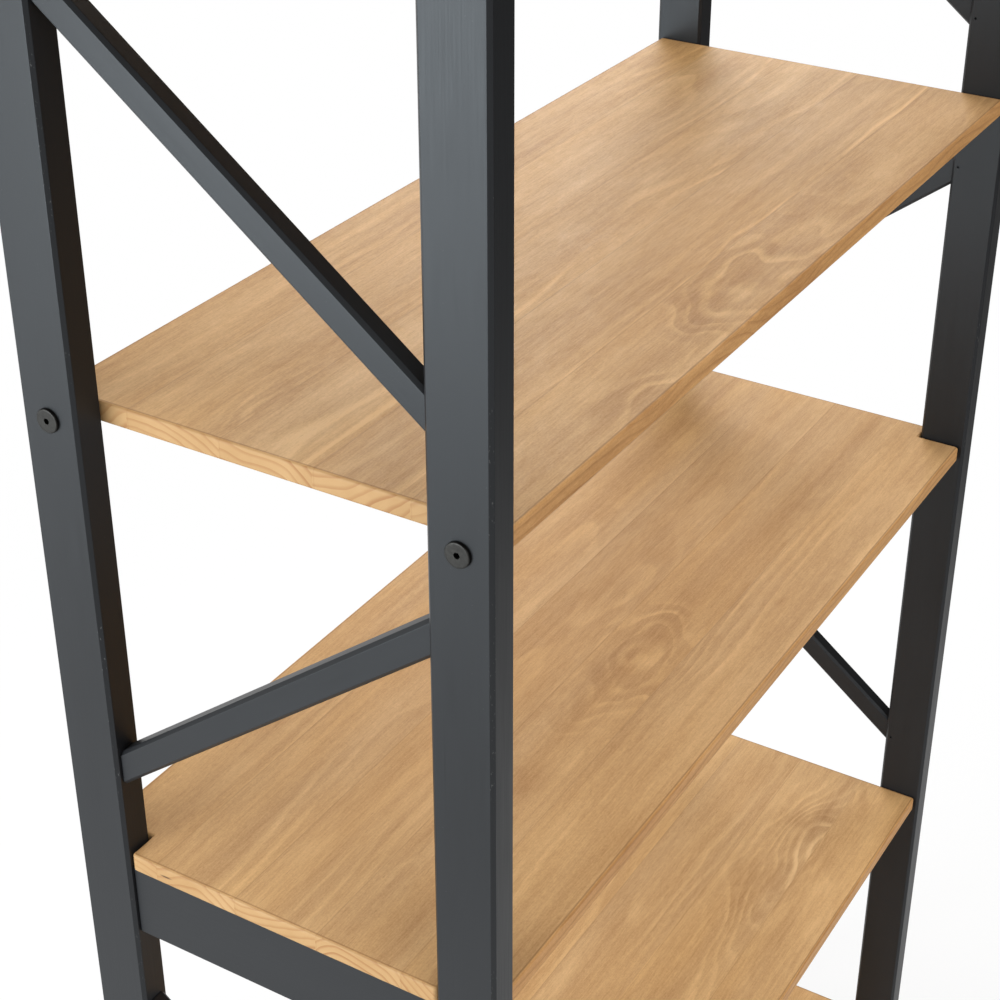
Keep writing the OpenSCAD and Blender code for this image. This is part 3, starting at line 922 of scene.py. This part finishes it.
def make_rail_screws(metal):
    """Screws that point up through the rails, with cross recesses in their heads."""
    head = rod("screw", SCREW_HEAD_D / 2, (0, 0, -SCREW_HEAD_T), (0, 0, 0), sides=48)
    ease(head, square_to(2, SCREW_HEAD_T), 0.7 * MM, 3)
    arm = SCREW_HEAD_D / 3.6
    width = SCREW_HEAD_D / 10
    depth = SCREW_HEAD_T * 0.7
    for x, y in ((arm, width), (width, arm)):
        carve(head, block("recess", (-x, -y, -2 * SCREW_HEAD_T), (x, y, depth - SCREW_HEAD_T)))
    shank = rod("shank", SCREW_D / 2, (0, 0, -LAP), (0, 0, SCREW_LEN), sides=24)
    ease(shank, square_to(2, SCREW_LEN), 1.2 * MM, 2)
    select_only(head, shank)
    bpy.ops.object.join()
    seat = -SHELF_T + SCREW_BITE - SCREW_LEN
    places = [((side * POST_MID_X, end * SCREW_Y, shelf_top + seat), 0)
              for shelf_top in RAIL_LEVELS.values() for side, end in CORNERS]
    hand_over(copies(head, places, "plated_rail_screws"), "rail_screws", metal)


def make_pins(side, metal):
    """Brads in the nail holes of one end frame, heads below the surface."""
    pin = rod("pin", PIN_HEAD_D / 2, (0, 0, 0), (PIN_HEAD_T, 0, 0), sides=20)
    shank = rod("shank", PIN_D / 2, (PIN_HEAD_T - LAP, 0, 0), (PIN_LEN, 0, 0), sides=12)
    ease(pin, square_to(0, 0), 0.25 * MM, 2)
    select_only(pin, shank)
    bpy.ops.object.join()
    turn = 0 if side == RIGHT else math.pi
    places = [((side * (INNER_X + PIN_SINK), end * (INNER_Y + PIN_INSET), height), turn)
              for end in (FRONT, BACK) for height in pin_heights(end)]
    name = f"frame_pins_{SIDE_NAMES[side]}"
    hand_over(copies(pin, places, f"plated_{name}"), name, metal)


# ---- Stage ----

VIEW_FROM = Vector((-1.2483, -0.6660, 1.9088))
VIEW_TURN = tuple(math.radians(a) for a in (60.646, -0.346, -59.464))
VIEW_LENS = 71.81
VIEW_SHIFT = (-0.0304, -0.05)
FLOOR_SIZE = 7.0
# The studio is white all round, but its front right side is dim in reflections
DIM_SIDE = Vector((0.86, -0.51, 0.0))
DIM_LEVEL = 0.1
WHITE_SIDE = Vector((-0.35, 0.80, -0.48)).normalized()
# Its light comes mostly from the upper left, and less from straight above
BRIGHT_SIDE = Vector((-0.50, -0.30, 0.81)).normalized()
STRAIGHT_UP = Vector((0, 0, 1))
MIRRORED_GLOW = 0.3
# Name, place, point that it faces, size, power and colour of each softbox
SOFTBOXES = (
    ("right_window", (2.25, 1.25, 2.6), (0, 0, 1.0), 1.3, 35, (1, 0.985, 0.955)),
    ("left_window", (-2.9, 1.1, 1.15), (-0.45, 0.1, 0.9), 1.9, 122, (0.88, 0.95, 1)),
    ("overhead", (0.6, 0.0, 3.6), (0, 0, 1.0), 1.5, 16, (1, 1, 1)),
    ("front_fill", (-1.5, -2.4, 2.6), (0, 0, 0.9), 1.8, 23, (1, 1, 1)),
)


def seen_rays(r, mirrored):
    """1 for what is looked at or seen through glass, and this share for what is mirrored."""
    rays = r.node("ShaderNodeLightPath").outputs
    direct = r.math("MAXIMUM", rays["Is Camera Ray"], rays["Is Transmission Ray"])
    return r.math("MAXIMUM", direct, r.times(rays["Is Glossy Ray"], mirrored))


def make_floor():
    """A pale floor that keeps the bookcase's shadow and turns plain white further off."""
    bpy.ops.object.select_all(action="DESELECT")
    bpy.ops.mesh.primitive_plane_add(size=FLOOR_SIZE, location=(0, 0, 0))
    floor = bpy.context.object
    floor.name = floor.data.name = "floor"
    settle(floor)
    material, r = new_material("pale_floor")
    place = r.node("ShaderNodeTexCoord").outputs["Object"]
    away = r.vector("DOT_PRODUCT", place, DIM_SIDE)
    seen = seen_rays(r, r.remap(away, 0.8, 2.0, 1.0, DIM_LEVEL, smooth=True))
    far = r.vector("LENGTH", place)
    white_share = r.remap(far, 0.7, 2.4, 0.74, 1.0, smooth=True)
    # As a lamp for the bookcase, the floor is pale near it and grey further off
    sheet = r.blend(r.remap(far, 1.0, 2.4, smooth=True), grey(0.80), grey(0.12))
    matt = r.node("ShaderNodeBsdfDiffuse", {"Color": r.blend(seen, sheet, grey(0.90))})
    white = r.node("ShaderNodeEmission", {"Color": grey(1), "Strength": 1.0})
    mixed = r.node("ShaderNodeMixShader", {0: r.times(seen, white_share),
                                           1: matt.outputs[0], 2: white.outputs[0]})
    out = r.node("ShaderNodeOutputMaterial")
    r.tree.links.new(mixed.outputs[0], out.inputs[0])
    floor.data.materials.append(material)


def make_surroundings():
    """White to the eye; as light, brightest on the upper left, softer overhead, dim to the right."""
    world = bpy.data.worlds.new("studio")
    bpy.context.scene.world = world
    r = Recipe(world)
    way = r.node("ShaderNodeTexCoord").outputs["Generated"]
    behind = r.vector("DOT_PRODUCT", way, WHITE_SIDE)
    seen = seen_rays(r, r.remap(behind, -0.45, 0.25, DIM_LEVEL, 1.0, smooth=True))
    facing = r.vector("DOT_PRODUCT", way, BRIGHT_SIDE)
    glow = r.remap(facing, -0.5, 0.8, 0.06, 1.13, smooth=True)
    height = r.vector("DOT_PRODUCT", way, STRAIGHT_UP)
    glow = r.times(glow, r.remap(height, 0.45, 0.95, 1.0, 0.4, smooth=True))
    glossy = r.node("ShaderNodeLightPath").outputs["Is Glossy Ray"]
    glow = r.times(glow, r.remap(glossy, 0, 1, 1.0, MIRRORED_GLOW))
    strength = r.math("MAXIMUM", seen, glow)
    light = r.node("ShaderNodeBackground", {"Color": grey(1), "Strength": strength})
    out = r.node("ShaderNodeOutputWorld")
    r.tree.links.new(light.outputs[0], out.inputs[0])


def soft_light(name, place, aim, size, power, colour):
    """A square softbox that faces a point."""
    lamp = bpy.data.lights.new(name, "AREA")
    lamp.size = size
    lamp.energy = power
    lamp.color = colour
    obj = bpy.data.objects.new(name, lamp)
    bpy.context.collection.objects.link(obj)
    obj.location = place
    obj.rotation_euler = (Vector(aim) - Vector(place)).to_track_quat("-Z", "Y").to_euler()


def make_camera():
    """The camera, a little above the upper shelf and to the left of the bookcase."""
    lens = bpy.data.cameras.new("camera")
    lens.sensor_width = 36
    lens.lens = VIEW_LENS
    lens.shift_x, lens.shift_y = VIEW_SHIFT
    camera = bpy.data.objects.new("camera", lens)
    bpy.context.collection.objects.link(camera)
    camera.location = VIEW_FROM
    camera.rotation_euler = VIEW_TURN
    bpy.context.scene.camera = camera


# ---- Operators ----

class BOOKCASE_OT_posts(bpy.types.Operator):
    """Makes the four posts"""
    bl_idname = "bookcase.posts"
    bl_label = "Posts"

    def execute(self, context):
        paint = charcoal("charcoal_upright")
        for side, end in CORNERS:
            make_post(side, end, paint)
        return {"FINISHED"}


class BOOKCASE_OT_rails(bpy.types.Operator):
    """Makes the six rails"""
    bl_idname = "bookcase.rails"
    bl_label = "Rails"

    def execute(self, context):
        paint = charcoal("charcoal_level", (math.pi / 2, 0, 0))
        for side in (LEFT, RIGHT):
            for place in RAIL_LEVELS:
                make_rail(side, place, paint)
        return {"FINISHED"}


class BOOKCASE_OT_braces(bpy.types.Operator):
    """Makes the eight slanted braces"""
    bl_idname = "bookcase.braces"
    bl_label = "Braces"

    def execute(self, context):
        for way, word in ((UP, "rising"), (DOWN, "falling")):
            paint = charcoal(f"charcoal_{word}", (math.pi / 2 - way * BRACE_ANGLE, 0, 0))
            for side in (LEFT, RIGHT):
                for place in PAIR_LEVELS:
                    make_brace(side, place, way, paint)
        return {"FINISHED"}


class BOOKCASE_OT_notched_shelves(bpy.types.Operator):
    """Makes the three shelves that are notched round the posts"""
    bl_idname = "bookcase.notched_shelves"
    bl_label = "Notched Shelves"

    def execute(self, context):
        for name in NOTCHED:
            make_notched_shelf(name, shelf_wood(name))
        return {"FINISHED"}


class BOOKCASE_OT_bolted_shelves(bpy.types.Operator):
    """Makes the two shelves that are bolted between the end frames"""
    bl_idname = "bookcase.bolted_shelves"
    bl_label = "Bolted Shelves"

    def execute(self, context):
        for name in BOLTED:
            make_bolted_shelf(name, shelf_wood(name))
        return {"FINISHED"}


class BOOKCASE_OT_bolts(bpy.types.Operator):
    """Makes the connector bolts of both end frames"""
    bl_idname = "bookcase.bolts"
    bl_label = "Shelf Bolts"

    def execute(self, context):
        metal = plated("dark_bronze_plating", looks().bronze, 0.42, marks=0.35)
        for side in (LEFT, RIGHT):
            make_bolts(side, metal)
        return {"FINISHED"}


class BOOKCASE_OT_hardware(bpy.types.Operator):
    """Makes the barrel nuts, the rail screws and the frame pins"""
    bl_idname = "bookcase.hardware"
    bl_label = "Nuts, Screws and Pins"

    def execute(self, context):
        metal = plated("zinc_plating", looks().zinc, 0.35, marks=0.15)
        make_barrel_nuts(metal)
        make_rail_screws(metal)
        painted_over = plated("painted_over_steel", looks().paint, 0.6, marks=0.35)
        for side in (LEFT, RIGHT):
            make_pins(side, painted_over)
        return {"FINISHED"}


class BOOKCASE_OT_stage(bpy.types.Operator):
    """Makes the floor, the light and the camera"""
    bl_idname = "bookcase.stage"
    bl_label = "Stage"

    def execute(self, context):
        make_floor()
        make_surroundings()
        for softbox in SOFTBOXES:
            soft_light(*softbox)
        make_camera()
        context.scene.view_settings.view_transform = "Standard"
        return {"FINISHED"}


STEPS = (BOOKCASE_OT_posts, BOOKCASE_OT_rails, BOOKCASE_OT_braces, BOOKCASE_OT_notched_shelves,
         BOOKCASE_OT_bolted_shelves, BOOKCASE_OT_bolts, BOOKCASE_OT_hardware, BOOKCASE_OT_stage)


class BOOKCASE_PT_sidebar(bpy.types.Panel):
    """Lists the looks and the steps of the bookcase"""
    bl_idname = "BOOKCASE_PT_sidebar"
    bl_label = "Bookcase"
    bl_space_type = "VIEW_3D"
    bl_region_type = "UI"
    bl_category = "Bookcase"

    def draw(self, context):
        for key in BookcaseLooks.__annotations__:
            self.layout.prop(context.scene.bookcase_looks, key)
        for step in STEPS:
            self.layout.operator(step.bl_idname)


CLASSES = (BookcaseLooks, *STEPS, BOOKCASE_PT_sidebar)


def register():
    for cls in CLASSES:
        bpy.utils.register_class(cls)
    bpy.types.Scene.bookcase_looks = PointerProperty(type=BookcaseLooks)


def unregister():
    del bpy.types.Scene.bookcase_looks
    for cls in reversed(CLASSES):
        bpy.utils.unregister_class(cls)


def main():
    register()
    for step in STEPS:
        area, name = step.bl_idname.split(".")
        getattr(getattr(bpy.ops, area), name)()


if __name__ == "__main__":
    main()
